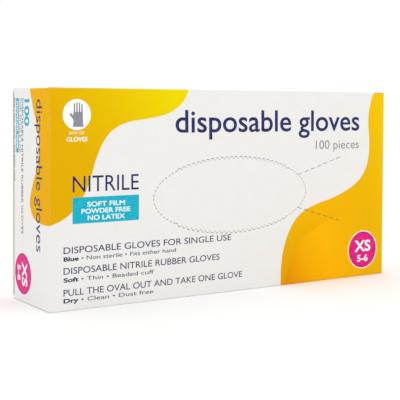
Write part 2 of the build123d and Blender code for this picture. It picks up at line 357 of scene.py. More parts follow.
def nitrile():
    """Nitrile film, dipped and chlorinated: soft matt blue, with fine creases from pressing."""
    made, tree, shader = new_material(
        "dipped_nitrile_film", 0.38, Specular_IOR_Level=0.5, Sheen_Weight=0.1, Sheen_Roughness=0.4
    )
    whole, _ = place_mm(tree)
    cloud = add(tree, NOISE, {"Vector": whole, "Scale": 0.06, "Detail": 4.0})
    stretched = add(tree, "ShaderNodeVectorMath", {0: whole, 1: (0.35, 1.0, 1.0)}, operation="MULTIPLY")
    # creases 3 to 8 mm apart, and the textured grip of about 0.6 mm over them
    folds = add(tree, NOISE, {"Vector": stretched, "Scale": 0.22, "Detail": 5.0, "Distortion": 0.8})
    creases = add(tree, BUMP, {"Height": folds, "Strength": 0.55, "Distance": 0.0009})
    grip = add(tree, "ShaderNodeTexVoronoi", {"Vector": whole, "Scale": 1.6})
    feed(tree, shader, {
        "Base Color": add(tree, RAMP, {0: cloud}, ((0.3, "2F62B6"), (0.7, "4C80D2"))),
        "Normal": add(
            tree, BUMP, {"Height": grip, "Strength": 0.12, "Distance": 0.00006, "Normal": creases}
        ),
    })
    return made


BOARD_INSIDE = uncoated_board()
# a sheet's die-cut edge: grey plies, rough across their thickness
BOARD_EDGE = two_tone(
    "die_cut_board_edge", 0.95, 3.0, 4.0, ((0.35, "C9C2B6"), (0.65, "E2DDD4")), Specular_IOR_Level=0.15
)
NAVY = ink("navy_offset_ink", "1C2560")
CYAN = ink("cyan_offset_ink", "00B0C8")
MAGENTA = ink("magenta_offset_ink", "DE007C")
MAGENTA_DEEP = ink("deep_magenta_offset_ink", "A80068")
WHITE = ink("unprinted_white", "FFFFFF", 0.45)
GREY = ink("grey_offset_ink", "8E8C94")
SLATE = ink("slate_offset_ink", "4B506C")
NITRILE = nitrile()
# dispersion glue, dried: pale amber and glossy, uneven where the wheel laid it
GLUE = two_tone("dried_dispersion_glue", 0.25, 0.4, 3.0, ((0.3, "CDBF98"), (0.7, "E4DABB")))

# ---------------------------------------------------------------- sheets of board


class Sheet:
    """The outside of a piece of board: points with their outward directions, and faces."""

    def __init__(self):
        self.points, self.outward, self.faces, self.kinds = [], [], [], []
        self.known = {}

    def vertex(self, point, outward):
        key = tuple(round(c, 3) for c in point)
        if key not in self.known:
            self.known[key] = len(self.points)
            self.points.append(Vector(point))
            self.outward.append(Vector(outward))
        return self.known[key]

    def face(self, corners, kind=0):
        if len(set(corners)) > 2:
            self.faces.append(tuple(corners))
            self.kinds.append(kind)

    def rows(self, rows, outward, kinds=None):
        """Quads between rows of points; outward gives each row's direction."""
        for place in range(len(rows) - 1):
            kind = kinds[place] if kinds else 0
            low = [self.vertex(p, outward[place]) for p in rows[place]]
            high = [self.vertex(p, outward[place + 1]) for p in rows[place + 1]]
            for i in range(len(low) - 1):
                self.face((low[i], low[i + 1], high[i + 1], high[i]), kind)

    def solid(self, name, body, outsides, thickness=BOARD, turn=False, through=False):
        """The closed sheet: this outside, an inside one thickness in, and an edge round it.

        Board has an uncoated inside and a cut edge; a sheet that is one colour through has neither.
        """
        count = len(self.points)
        points = self.points + [p - n * thickness for p, n in zip(self.points, self.outward)]
        faces = list(self.faces)
        kinds = list(self.kinds)
        sides = {}
        for face, kind in zip(self.faces, self.kinds):
            sides.update(((a, b), kind) for a, b in zip(face, face[1:] + face[:1]))
        inner, edge = len(outsides), len(outsides) + 1
        faces += [tuple(i + count for i in reversed(face)) for face in self.faces]
        kinds += self.kinds if through else [inner] * len(self.faces)
        rim = [(pair, kind if through else edge) for pair, kind in sides.items() if pair[::-1] not in sides]
        faces += [(b, a, a + count, b + count) for (a, b), _ in rim]
        kinds += [kind for _, kind in rim]
        if turn:
            faces = [tuple(reversed(face)) for face in faces]
        materials = outsides if through else [*outsides, BOARD_INSIDE, BOARD_EDGE]
        return mesh_piece(name, body, points, faces, materials, kinds)


def mesh_piece(name, body, points, faces, materials, kinds):
    """A finished mesh object from millimetre points, riding on a body."""
    mesh = bpy.data.meshes.new(name)
    mesh.from_pydata([Vector(p) / MM for p in points], [], faces)
    for material in materials:
        mesh.materials.append(material)
    mesh.polygons.foreach_set("material_index", kinds)
    mesh.update()
    mesh.shade_smooth()
    mesh.set_sharp_from_angle(angle=SHARP_FROM)
    made = bpy.data.objects.new(name, mesh)
    bpy.context.scene.collection.objects.link(made)
    if body:
        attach(made, body)
    return made


def facing_up(points, triangles):
    """The triangles, each turned anticlockwise."""
    turned = []
    for a, b, c in triangles:
        ab, ac = points[b] - points[a], points[c] - points[a]
        turned.append((a, b, c) if ab.x * ac.y - ab.y * ac.x > 0 else (a, c, b))
    return turned


def filled(outline, holes=(), spacing=8.0):
    """Triangles that fill an outline round its holes, with points between them for a soft bulge."""
    spots, loops = [], []
    for loop in (outline, *holes):
        ring = [Vector(p) for p in loop]
        if sum(a.x * b.y - b.x * a.y for a, b in zip(ring, ring[1:] + ring[:1])) < 0:
            ring.reverse()
        loops.append(list(range(len(spots), len(spots) + len(ring))))
        spots += ring
    low = [min(p[i] for p in outline) for i in (0, 1)]
    high = [max(p[i] for p in outline) for i in (0, 1)]
    counts = [max(1, round((high[i] - low[i]) / spacing)) for i in (0, 1)]
    steps = [(high[i] - low[i]) / counts[i] for i in (0, 1)]
    for i in range(1, counts[0]):
        for j in range(1, counts[1]):
            spots.append(Vector((low[0] + i * steps[0], low[1] + j * steps[1])))
    points, _, triangles, _, _, owners = delaunay_2d_cdt(spots, [], loops, 0, 1e-5)
    # a triangle that only the outline owns is in no hole
    return points, facing_up(points, [t for t, own in zip(triangles, owners) if own and set(own) == {0}])


def flat_sheet(outline, to_space, outward, bulge=None, holes=(), sheet=None, spacing=8.0):
    """An outline laid on a face: to_space places it, outward is the face's direction."""
    made = sheet or Sheet()
    points, triangles = filled(outline, holes, spacing)
    index = []
    for a, b in points:
        lift = bulge(a, b) if bulge else 0.0
        index.append(made.vertex(to_space(a, b) + outward * lift, outward))
    for t in triangles:
        made.face([index[i] for i in t])
    return made


def arc(centre, radius, start, end, steps=9):
    """Points on an arc, from one angle in degrees to another."""
    angles = [math.radians(start + (end - start) * i / steps) for i in range(steps + 1)]
    return [Vector(centre) + Vector((math.cos(a), math.sin(a))) * radius for a in angles]


def bent_line(corners):
    """Runs along a folded line: flat, crease, flat, ... Each is a list of (point, direction)."""
    corners = [Vector(c) for c in corners]
    directions = [(b - a).normalized() for a, b in zip(corners, corners[1:])]
    runs, start = [], corners[0]
    for corner, before, after in zip(corners[1:], directions, directions[1:]):
        turn = before.angle_signed(after) * -1
        reach = CREASE * math.tan(abs(turn) / 2)
        arc_start = corner - before * reach
        runs.append([(start, before), (arc_start, before)])
        inward = Vector((-before.y, before.x)) * (1 if turn > 0 else -1)
        centre = arc_start + inward * CREASE
        crease = []
        for step in range(CREASE_STEPS + 1):
            spin = Matrix.Rotation(turn * step / CREASE_STEPS, 2)
            crease.append((centre + spin @ (arc_start - centre), spin @ before))
        runs.append(crease)
        start = crease[-1][0]
    runs.append([(start, directions[-1]), (corners[-1], directions[-1])])
    return runs


# ---------------------------------------------------------------- the cut lines

oval_centre = (window_low + window_high) / 2
oval_long = (window_high.x - window_low.x) / 2 - WINDOW_REACH
oval_short = (window_high.z - window_low.z) / 2 - WINDOW_REACH
fold_x = joint_mm("tear_tab_fold").x
tab_low, tab_high = box_mm("tear_tab")
tab_half_at_fold = (tab_high.z - tab_low.z) / 2 + CUT_HALF
tab_angle = math.asin(TAB_HALF_AT_OVAL / oval_short)

# share of a pitch and place across the line
HOOKS = ((0.0, -HOOK_DEPTH), (0.34, HOOK_DEPTH), (0.7, HOOK_DEPTH))
DASHES = ((0.0, 0.0), (0.5, 0.0))
# share of a pitch where a nick is left, its length, and how it leans from the line
HOOK_NICK = (0.85, 1.3, math.radians(54))
DASH_NICK = (0.77, 1.15, 0.0)
TEAR_NICK = (0.8, 2.3, 0.0)


def oval_spot(angle, out=0.0):
    """A point of the oval, moved out square to its line."""
    spot = Vector((oval_long * math.cos(angle), oval_short * math.sin(angle)))
    square = Vector((oval_short * math.cos(angle), oval_long * math.sin(angle))).normalized()
    return Vector((oval_centre.x, oval_centre.z)) + spot + square * out


def measured(spot, start, end):
    """A way to get the value at a share of a line's length, and that length."""
    fine = [start + (end - start) * i / FINE_STEPS for i in range(FINE_STEPS + 1)]
    lengths = [0.0]
    for a, b in zip(fine, fine[1:]):
        lengths.append(lengths[-1] + (spot(b) - spot(a)).length)

    def at(share):
        wanted = share * lengths[-1]
        i = max(k for k in range(FINE_STEPS) if lengths[k] <= wanted + 1e-9)
        return fine[i] + (fine[i + 1] - fine[i]) * (wanted - lengths[i]) / (lengths[i + 1] - lengths[i])

    return at, lengths[-1]


# the oval's ends are dashed, its top and bottom hooked
SECTIONS = (
    (-HOOKS_FROM, HOOKS_FROM, DASH_PITCH, DASHES, DASH_NICK),
    (HOOKS_FROM, HOOKS_TO, HOOK_PITCH, HOOKS, HOOK_NICK),
    (HOOKS_TO, math.pi + HOOKS_FROM, DASH_PITCH, DASHES, DASH_NICK),
    (math.pi + HOOKS_FROM, math.pi + HOOKS_TO, HOOK_PITCH, HOOKS, HOOK_NICK),
)


def oval_line(side):
    """The cut round the oval as (angle, point): side 1 is its outer edge, -1 its inner edge."""
    line = []
    for start, end, pitch, pattern, _ in SECTIONS:
        at, length = measured(oval_spot, start, end)
        count = round(length / pitch)
        for unit in range(count):
            for share, across in pattern:
                angle = at((unit + share) / count)
                line.append((angle, oval_spot(angle, across + side * CUT_HALF)))
    return line


def tear_ends(upper):
    """Where a tear line meets the oval, and where it meets the fold."""
    sign = 1 if upper else -1
    return oval_spot(sign * tab_angle), Vector((fold_x, oval_centre.z + sign * tab_half_at_fold))


def tear_line(upper, side):
    """One edge of a tear line, from the oval's outer cut to the fold. side 1 is away from the tab."""
    start, end = tear_ends(upper)
    sign = 1 if upper else -1
    run = (end - start).normalized()
    square = Vector((-run.y, run.x)) * sign * side
    angle = sign * tab_angle
    tangent = Vector((-oval_long * math.sin(angle), oval_short * math.cos(angle))).normalized()
    # the corner is where the tear line's edge crosses the oval's outer edge
    apart = (oval_spot(angle, 1.0) - start - square) * CUT_HALF
    reach = (apart.x * tangent.y - apart.y * tangent.x) / (run.x * tangent.y - run.y * tangent.x)
    edge = [start.lerp(end, i / TEAR_STEPS) + square * CUT_HALF for i in range(1, TEAR_STEPS)]
    return [start + square * CUT_HALF + run * reach, *edge, end + square * NICK_HALF]


outer_cut = oval_line(1)
full_turn = 2 * math.pi
past_tab, within_tab = tab_angle + CORNER_CLEAR, tab_angle - CORNER_CLEAR
away_from_tab = sorted(
    ((angle % full_turn, p) for angle, p in outer_cut if past_tab < angle % full_turn < full_turn - past_tab),
    key=lambda pair: pair[0],
)
beside_tab = [p for angle, p in outer_cut if -within_tab < angle < within_tab]
mouth = [p for _, p in away_from_tab] + tear_line(False, 1) + tear_line(True, 1)[::-1]
tab_outline = beside_tab + tear_line(True, -1) + tear_line(False, -1)[::-1]
window_outline = [p for _, p in oval_line(-1)]

# ---------------------------------------------------------------- the carton


def pillow(amount, low_x, high_x, low_z, high_z):
    """A soft outward bulge that dies away at a panel's creases."""

    def lift(a, b):
        u = (2 * a - low_x - high_x) / (high_x - low_x)
        v = (2 * b - low_z - high_z) / (high_z - low_z)
        return amount * (max(0.0, 1 - u * u) * max(0.0, 1 - v * v)) ** BULGE_POWER

    return lift


# flat past the tear tab's fold, so that the tab turns on the face
front_bulge = pillow(FACE_BULGE, CREASE - HALF, fold_x, CREASE, HIGH - CREASE)
back_bulge = pillow(BACK_BULGE, -HALF, HALF, seam_low.z + CREASE, HIGH - CREASE)


def on_front(a, b):
    return Vector((a, FRONT, b))


front_reach = HALF - CREASE
side_reach = SIDE_HALF - CREASE
sleeve = Sheet()
walls = bent_line(
    ((BACK, 0), (FRONT, 0), (FRONT, HIGH), (BACK, HIGH), (BACK, seam_low.z), (seam_low.y, seam_low.z))
)
columns = [-1 + 2 * i / SLEEVE_COLUMNS for i in range(SLEEVE_COLUMNS + 1)]
# runs of the sleeve's outline; the odd ones between them are creases
UNDER_SIDE, FRONT_FACE, TOP_SIDE, BACK_FACE, SEAM = 0, 2, 4, 6, 8
WALL_KINDS = {FRONT_FACE: 0, TOP_SIDE: 1, UNDER_SIDE: 2, BACK_FACE: 3, SEAM: 4}
REACHES = {
    UNDER_SIDE: side_reach, FRONT_FACE: front_reach, TOP_SIDE: side_reach, BACK_FACE: HALF, SEAM: seam_high.x
}

for number, run in enumerate(walls):
    if number == FRONT_FACE:
        (bottom, _), (top_edge, _) = run
        edge_x = [c * front_reach for c in columns]
        outline = [(x, bottom.y) for x in edge_x] + [(x, top_edge.y) for x in reversed(edge_x)]
        flat_sheet(outline, on_front, -Y, front_bulge, (mouth,), sleeve)
        continue
    flat = number % 2 == 0
    before, after = (number, number) if flat else (number - 1, number + 1)
    steps = SLEEVE_ROWS if flat else CREASE_STEPS
    rows, outward = [], []
    for step in range(steps + 1):
        share = step / steps
        point, direction = (run[0][0].lerp(run[1][0], share), run[0][1]) if flat else run[step]
        reach = REACHES[before] + (REACHES[after] - REACHES[before]) * share
        out = Vector((0, -direction.y, direction.x))
        row = [Vector((c * reach, point.x, point.y)) for c in columns]
        if number == BACK_FACE:
            row = [p + out * back_bulge(p.x, p.z) for p in row]
        rows.append(row)
        outward.append(out)
    # a crease is printed like the wall after it, and past the top like the wall before it
    sleeve.rows(rows, outward, [WALL_KINDS[before if number > TOP_SIDE else after]] * steps)

carton = sleeve.solid(
    "carton_sleeve", "carton", [BOARD_FRONT, BOARD_TOP, BOARD_UNDER, BOARD_BACK, BOARD_PLAIN]
)
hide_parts("front_panel", "back_panel", "lower_side_panel", "upper_side_panel", "seam_flap")



def flap(sheet, name, node, board, turn=False):
    """A flat piece of board in place of its node, riding on the body of the same name."""
    made = sheet.solid(name, node, [board], turn=turn)
    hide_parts(node)


def bent_board(sheet, name, board, turn, fixed, moving):
    """The board in a crease, made where it lies, on no body."""
    made = sheet.solid(name, None, [board], turn=turn)
    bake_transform(made)


flap(flat_sheet(window_outline, on_front, -Y, front_bulge), "tear_out_oval", "tear_window", BOARD_FRONT)
flap(flat_sheet(tab_outline, on_front, -Y, front_bulge), "tear_tab_flap", "tear_tab", BOARD_FRONT)


def strip(run, levels, place, out_from):
    """The board of a crease: a folded line's run, repeated at some levels. place puts a run's point at
    a level into space, and out_from turns a run's direction into the outward one there.
    """
    made = Sheet()
    made.rows([[place(p, level) for p, _ in run] for level in levels], [X] * len(levels))
    outward = {}
    for level in levels:
        for point, direction in run:
            outward[made.vertex(place(point, level), X)] = out_from(direction)
    made.outward = [outward[i] for i in range(len(made.points))]
    return made


def end_closure(side, sign, board):
    """A lid with its tuck flap and two dust flaps, and the bent board at each crease."""
    lid_low, lid_high = box_mm(f"{side}_lid")
    tuck_low, tuck_high = box_mm(f"{side}_tuck_flap")
    dust_low, dust_high = box_mm(f"{side}_upper_dust_flap")
    free = joint_mm(f"{side}_tuck_crease")
    # how far the tuck flap's outer face leans in over its length
    lean = math.asin((free.y - tuck_low.y - BOARD) / TUCK_LENGTH)
    tuck_end = (-HALF + TUCK_LENGTH * math.cos(lean), free.y - TUCK_LENGTH * math.sin(lean))
    # the closure seen from above, as the left end has it
    _, lid_crease, lid_run, tuck_crease, tuck_run = bent_line(
        ((-HALF + LEAD_IN, FRONT), (-HALF, FRONT), (-HALF, free.y), tuck_end)
    )
    left = sign < 0

    def in_plan(point, height):
        return Vector((-sign * point[0], point[1], height))

    def out_plan(direction):
        return Vector((sign * direction.y, direction.x, 0))

    def crease(run, low, high, name, surface, fixed, moving):
        levels = [low + (high - low) * i / STRIP_ROWS for i in range(STRIP_ROWS + 1)]
        bent_board(
            strip(run, levels, in_plan, out_plan), f"{side}_{name}", surface, left, fixed, moving,
        )

    crease(lid_crease, lid_low.z, lid_high.z, "lid_crease", BOARD_FRONT, "carton", f"{side}_lid")
    # the lid, which reaches past the tuck flap's ends to the crease line
    (near, _), (far, _) = lid_run
    foot, head = tuck_low.z - LID_NOTCH, tuck_high.z + LID_NOTCH
    outline = [
        (near.y, lid_low.z), (free.y, lid_low.z), (free.y, foot), (far.y, foot), (far.y, head),
        (free.y, head), (free.y, lid_high.z), (near.y, lid_high.z),
    ]
    swell = pillow(LID_BULGE, near.y, far.y, lid_low.z, lid_high.z)
    lid = flat_sheet(outline, lambda a, b: Vector((sign * HALF, a, b)), sign * X, swell, spacing=3.0)
    flap(lid, f"{side}_end_lid", f"{side}_lid", board, left)
    crease(
        tuck_crease, tuck_low.z, tuck_high.z, "tuck_crease_fold", BOARD_PLAIN,
        f"{side}_lid", f"{side}_tuck_flap",
    )
    # the tuck flap, with round free corners
    root, direction = tuck_run[0]
    length = (tuck_run[1][0] - root).length
    round_off = arc((length - TUCK_CORNER, tuck_high.z - TUCK_CORNER), TUCK_CORNER, 90, 0, 8)
    outline = [(0, tuck_low.z)] + [(a, tuck_low.z + tuck_high.z - b) for a, b in round_off]
    outline += [*round_off[::-1], (0, tuck_high.z)]
    tuck = flat_sheet(outline, lambda a, b: in_plan(root + direction * a, b), out_plan(direction))
    flap(tuck, f"{side}_tuck", f"{side}_tuck_flap", BOARD_PLAIN, left)

    # dust flaps, hung on the narrow sides; the lower one is the upper one turned over
    taper = (dust_high.z - dust_low.z) * math.tan(DUST_TAPER)
    _, dust_crease, dust_run = bent_line(
        ((-SIDE_HALF + LEAD_IN, HIGH), (-SIDE_HALF, HIGH), (-SIDE_HALF, dust_low.z))
    )
    root_z = dust_run[0][0].y
    outline = [
        (dust_low.y + taper, dust_low.z), (dust_high.y - DUST_CHAMFER, dust_low.z),
        (dust_high.y, dust_low.z + DUST_CHAMFER), (dust_high.y, root_z), (dust_low.y, root_z),
    ]
    for level, flip in (("upper", 1), ("lower", -1)):

        def level_z(z, flip=flip):
            return z if flip > 0 else HIGH - z

        def at_depth(point, y):
            return Vector((-sign * point.x, y, level_z(point.y)))

        bend = strip(
            dust_crease, (dust_low.y, dust_high.y), at_depth, lambda d: Vector((sign * d.y, 0, -flip * d.x))
        )
        name, body = f"{side}_{level}_dust", f"{side}_{level}_dust_flap"
        over = sign != flip
        bent_board(
            bend, f"{name}_crease", BOARD_PLAIN, over, "carton", body,
        )
        dust = flat_sheet(outline, lambda a, b: Vector((sign * SIDE_HALF, a, level_z(b))), sign * X)
        flap(dust, name, body, BOARD_PLAIN, over)


end_closure("left", -1, BOARD_LEFT_END)
end_closure("right", 1, BOARD_RIGHT_END)

for slot in frame["nodes"]["seam_glue"].material_slots:
    slot.material = GLUE

# ---------------------------------------------------------------- node trees that repeat a shape


def shape_tree(name, sizes):
    """A geometry tree with named inputs for its sizes: the tree, its inputs and its output node."""
    tree = bpy.data.node_groups.new(name, "GeometryNodeTree")
    tree.interface.new_socket("Geometry", in_out="INPUT", socket_type="NodeSocketGeometry")
    for label, kind in sizes.items():
        tree.interface.new_socket(label, in_out="INPUT", socket_type=f"NodeSocket{kind}")
    tree.interface.new_socket("Geometry", in_out="OUTPUT", socket_type="NodeSocketGeometry")
    return tree, tree.nodes.new("NodeGroupInput").outputs, tree.nodes.new("NodeGroupOutput")


def coloured(tree, end, shape, material):
    """Ends a tree: the shape, in one material."""
    feed(tree, end, {0: add(tree, "GeometryNodeSetMaterial", {"Geometry": shape, "Material": material})})


def grown(name, tree, points, edges, faces, values):
    """Runs a geometry tree on a small mesh and keeps the result as a plain mesh."""
    seed = bpy.data.meshes.new(name)
    seed.from_pydata([Vector(p) / MM for p in points], edges, faces)
    made = bpy.data.objects.new(name, seed)
    bpy.context.scene.collection.objects.link(made)
    modifier = made.modifiers.new(name, "NODES")
    modifier.node_group = tree
    sockets = {i.name: i.identifier for i in tree.interface.items_tree if i.in_out == "INPUT"}
    for label, value in values.items():
        modifier[sockets[label]] = value
    evaluated = made.evaluated_get(bpy.context.evaluated_depsgraph_get())
    mesh = bpy.data.meshes.new_from_object(evaluated)
    made.modifiers.clear()
    made.data = mesh
    mesh.name = name
    return made


def nick_tree():
    """Nicks of uncut board, spaced evenly along a line."""
    tree, size, end = shape_tree(
        "board_nicks",
        {"Count": "Int", "Length": "Float", "Width": "Float", "Thickness": "Float", "Lean": "Float",
         "Seed": "Int", "Board": "Material"},
    )
    line = add(tree, "GeometryNodeMeshToCurve", {0: size["Geometry"]})
    spots = add(
        tree, "GeometryNodeCurveToPoints", {"Curve": line.outputs[0], "Count": size["Count"]}, mode="COUNT"
    )
    shape = add(tree, VECTOR, {0: size["Length"], 1: size["Thickness"], 2: size["Width"]})
    bar = add(tree, "GeometryNodeMeshCube", {"Size": shape})
    lean = add(tree, VECTOR, {1: size["Lean"]})
    leant = add(tree, "GeometryNodeTransform", {"Geometry": bar.outputs[0], "Rotation": lean})
    turned = add(
        tree, "FunctionNodeAlignEulerToVector", {"Vector": spots.outputs["Tangent"]}, axis="X", pivot_axis="Y"
    )
    uneven = add(
        tree, "FunctionNodeRandomValue",
        {"Seed": size["Seed"], "Min": (0.8, 1.0, 0.97), "Max": (1.2, 1.0, 1.03)},
        data_type="FLOAT_VECTOR",
    )
    placed = add(
        tree, "GeometryNodeInstanceOnPoints",
        {"Points": spots.outputs[0], "Instance": leant.outputs[0], "Rotation": turned.outputs[0],
         "Scale": uneven.outputs[0]},
    )
    real = add(tree, "GeometryNodeRealizeInstances", {0: placed.outputs[0]})
    coloured(tree, end, real, size["Board"])
    return tree


NICKS = nick_tree()
NICK_LINE = 120  # steps of the line that carries a row of nicks
NICK_SUNK = 0.03  # how far a nick lies under the board's faces


def nicks(name, body, spot, start, end, pitch, nick, seed, lift):
    """A row of nicks on a cut line, riding the piece that tears out."""
    at, length = measured(spot, start, end)
    count = round(length / pitch)
    first, last = nick[0] / count, (count - 1 + nick[0]) / count
    line = [spot(at(first + (last - first) * i / NICK_LINE)) for i in range(NICK_LINE + 1)]
    depth = BOARD / 2 + NICK_SUNK
    points = [on_front(p.x, p.y) + Y * (depth - lift(p.x, p.y)) for p in line]
    made = grown(
        name, NICKS, points, [(i, i + 1) for i in range(NICK_LINE)], [],
        {"Count": count, "Length": nick[1] / MM, "Width": 2.1 * CUT_HALF / MM,
         "Thickness": (BOARD - 2 * NICK_SUNK) / MM, "Lean": nick[2], "Seed": seed, "Board": BOARD_FRONT},
    )
    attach(made, body)


for number, (start, end, pitch, _, nick) in enumerate(SECTIONS):
    nicks(f"oval_nicks_{number + 1}", "tear_window", oval_spot, start, end, pitch, nick, number, front_bulge)
for number, upper in enumerate((False, True)):
    near, far = tear_ends(upper)
    nicks(
        f"tear_line_nicks_{number + 1}", "tear_tab", lambda t, near=near, far=far: near.lerp(far, t),
        0.0, 1.0, TEAR_PITCH, TEAR_NICK, 8 + number, front_bulge,
    )

# ---------------------------------------------------------------- the gloves

THUMB_ROOT, THUMB_TIP, THUMB_HALF = Vector((-14.6, 64.5)), Vector((29.2, 104.0)), 9.4
PALM_LOW, PALM_HIGH, CUFF_FLARE = 6.4, 83.5, 5.0
FINGER_ROOT, FINGER_HALF, FINGER_STEPS = 44.4, 8.5, (12.0, 3.0, 0.0, 7.0)
GLOVE_END = glove_high.x
# half thicknesses of a pressed glove: of its films, and of the bead rolled along its cuff
FILM, FILM_AT_EDGE, BEAD, BEAD_AT_EDGE, BEAD_WIDTH = 0.13, 0.04, 0.17, 0.08, 2.4


def spaced(points, spacing=3.0):
    """The same closed outline with no side longer than the spacing."""
    made = []
    for a, b in zip(points, points[1:] + points[:1]):
        steps = max(1, round((b - a).length / spacing))
        made += [a.lerp(b, i / steps) for i in range(steps)]
    return made


def hand_outline(narrower=0.9, cuff_end=-GLOVE_END):
    """A flat glove's outline: cuff on the left, fingers on the right, thumb up."""
    rise = (PALM_HIGH - PALM_LOW - 2 * FINGER_HALF) / 3
    half, gap_half = FINGER_HALF - narrower, narrower + 0.7
    cuff = [(cuff_end, CUFF_FLARE), (0.75 * cuff_end, 0.52 * CUFF_FLARE), (0.5 * cuff_end, 0.08 * CUFF_FLARE)]
    line = [Vector((x, PALM_LOW - out)) for x, out in cuff] + [Vector((-30, PALM_LOW))]
    for finger, step in enumerate(FINGER_STEPS):
        middle = PALM_LOW + FINGER_HALF + finger * rise
        if finger:
            line += arc((FINGER_ROOT + gap_half, middle - rise / 2), gap_half, 270, 90, 5)
        line.append(Vector((FINGER_ROOT + 14, middle - half - 0.5)))
        line += arc((GLOVE_END - step - half, middle), half, -90, 90)
        line.append(Vector((FINGER_ROOT + 14, middle + half + 0.5)))
    along = (THUMB_TIP - THUMB_ROOT).normalized()
    across = Vector((-along.y, along.x)) * THUMB_HALF
    lean = math.degrees(math.atan2(along.y, along.x))
    line += [Vector((34, PALM_HIGH)), Vector((27, PALM_HIGH + 1.2))]
    line.append(THUMB_ROOT.lerp(THUMB_TIP, 0.72) - across)
    line += arc(THUMB_TIP, THUMB_HALF, lean - 90, lean + 90)
    line.append(THUMB_ROOT.lerp(THUMB_TIP, 0.42) + across)
    line += [Vector((-13, PALM_HIGH + 1.5)), Vector((-20, PALM_HIGH))]
    return spaced(line + [Vector((x, PALM_HIGH + out)) for x, out in reversed(cuff)])


def flat_glove():
    """Two films of one glove, pressed flat, with a rolled bead at the cuff: points in mm and faces."""
    outline = hand_outline()
    spots, triangles = filled(outline, (), 3.6)
    count, rim = len(spots), len(outline)

    def half_thickness(i):
        from_cuff = spots[i][0] + GLOVE_END
        if from_cuff < BEAD_WIDTH:
            return BEAD if i >= rim or from_cuff > 0.1 else BEAD_AT_EDGE
        return FILM_AT_EDGE if i < rim else FILM

    points = [Vector((p[0], -half_thickness(i), p[1])) for i, p in enumerate(spots)]
    points += [Vector((p[0], half_thickness(i), p[1])) for i, p in enumerate(spots)]
    faces = [tuple(t) for t in triangles] + [tuple(i + count for i in reversed(t)) for t in triangles]
    sides = {(a, b) for t in triangles for a, b in zip(t, tuple(t[1:]) + (t[0],))}
    faces += [(b, a, a + count, b + count) for a, b in sides if (b, a) not in sides]
    return points, faces


def stack_tree():
    """One glove repeated through the depth of the carton, every other one turned end for end,
    and creased most at the front where a hand has pushed in.
    """
    tree, size, end = shape_tree(
        "stack_of_gloves",
        {"Count": "Int", "First": "Float", "Pitch": "Float", "Middle": "Float", "Crease depth": "Float",
         "Ridge height": "Float", "Seed": "Float", "Film": "Material"},
    )
    spots = add(
        tree, "GeometryNodeMeshLine",
        {"Count": size["Count"], "Start Location": add(tree, VECTOR, {1: size["First"], 2: size["Middle"]}),
         "Offset": add(tree, VECTOR, {1: size["Pitch"]})},
    )
    index = add(tree, "GeometryNodeInputIndex").outputs[0]
    # the creases fade from the first glove to the last
    share = add(tree, MATH, {0: index, 1: size["Count"]}, operation="DIVIDE")
    left = add(tree, MATH, {0: 1.0, 1: share}, operation="SUBTRACT")
    fade = add(tree, MATH, {0: left, 1: 1.6}, operation="POWER")
    kept = add(
        tree, "GeometryNodeStoreNamedAttribute", {"Geometry": spots.outputs[0], "Name": "fade"},
        data_type="FLOAT", domain="POINT",
    )
    tree.links.new(fade.outputs[0], next(s for s in kept.inputs if s.name == "Value" and s.enabled))
    odd = add(tree, MATH, {0: index, 1: 2.0}, operation="MODULO")
    turn = add(tree, MATH, {0: odd, 1: math.pi}, operation="MULTIPLY")
    placed = add(
        tree, "GeometryNodeInstanceOnPoints",
        {"Points": kept.outputs[0], "Instance": size["Geometry"], "Rotation": add(tree, VECTOR, {1: turn})},
    )
    real = add(tree, "GeometryNodeRealizeInstances", {0: placed.outputs[0]})
    # the same crease pattern on every glove keeps the films from crossing
    flat = add(tree, "ShaderNodeSeparateXYZ", {0: add(tree, "GeometryNodeInputPosition").outputs[0]})
    seeded = add(tree, VECTOR, {0: flat.outputs[0], 1: size["Seed"], 2: flat.outputs[2]})

    def stretched(stretch):
        return add(tree, "ShaderNodeVectorMath", {0: seeded, 1: stretch}, operation="MULTIPLY").outputs[0]

    # broad swells about 30 mm across, and thin raised folds where a finer noise passes its middle
    broad = add(
        tree, NOISE,
        {"Vector": stretched((26.0, 1.0, 48.0)), "Scale": 1.0, "Detail": 2.0, "Roughness": 0.5,
         "Distortion": 0.9},
    )
    wave = add(tree, RANGE, {0: broad, 1: 0.32, 2: 0.68})
    swell = add(tree, MATH, {0: wave, 1: size["Crease depth"]}, operation="MULTIPLY")
    fine = add(
        tree, NOISE,
        {"Vector": stretched((40.0, 1.0, 85.0)), "Scale": 1.0, "Detail": 1.0, "Distortion": 1.6},
    )
    past_middle = add(tree, MATH, {0: fine, 1: 0.5}, operation="SUBTRACT")
    off_middle = add(tree, MATH, {0: past_middle}, operation="ABSOLUTE")
    near_middle = add(tree, RANGE, {0: off_middle, 1: 0.0, 2: 0.09, 3: 1.0, 4: 0.0})
    ridge = add(tree, MATH, {0: near_middle, 1: 1.5}, operation="POWER")
    raised = add(tree, MATH, {0: ridge, 1: size["Ridge height"]}, operation="MULTIPLY")
    both = add(tree, MATH, {0: swell, 1: raised}, operation="ADD")
    fade_here = add(tree, "GeometryNodeInputNamedAttribute", {"Name": "fade"}, data_type="FLOAT")
    faded = add(tree, MATH, {0: both, 1: fade_here}, operation="MULTIPLY")
    forward = add(tree, MATH, {0: faded, 1: -1.0}, operation="MULTIPLY")
    offset = add(tree, VECTOR, {1: forward})
    creased = add(tree, "GeometryNodeSetPosition", {"Geometry": real, "Offset": offset})
    coloured(tree, end, creased, size["Film"])
    return tree


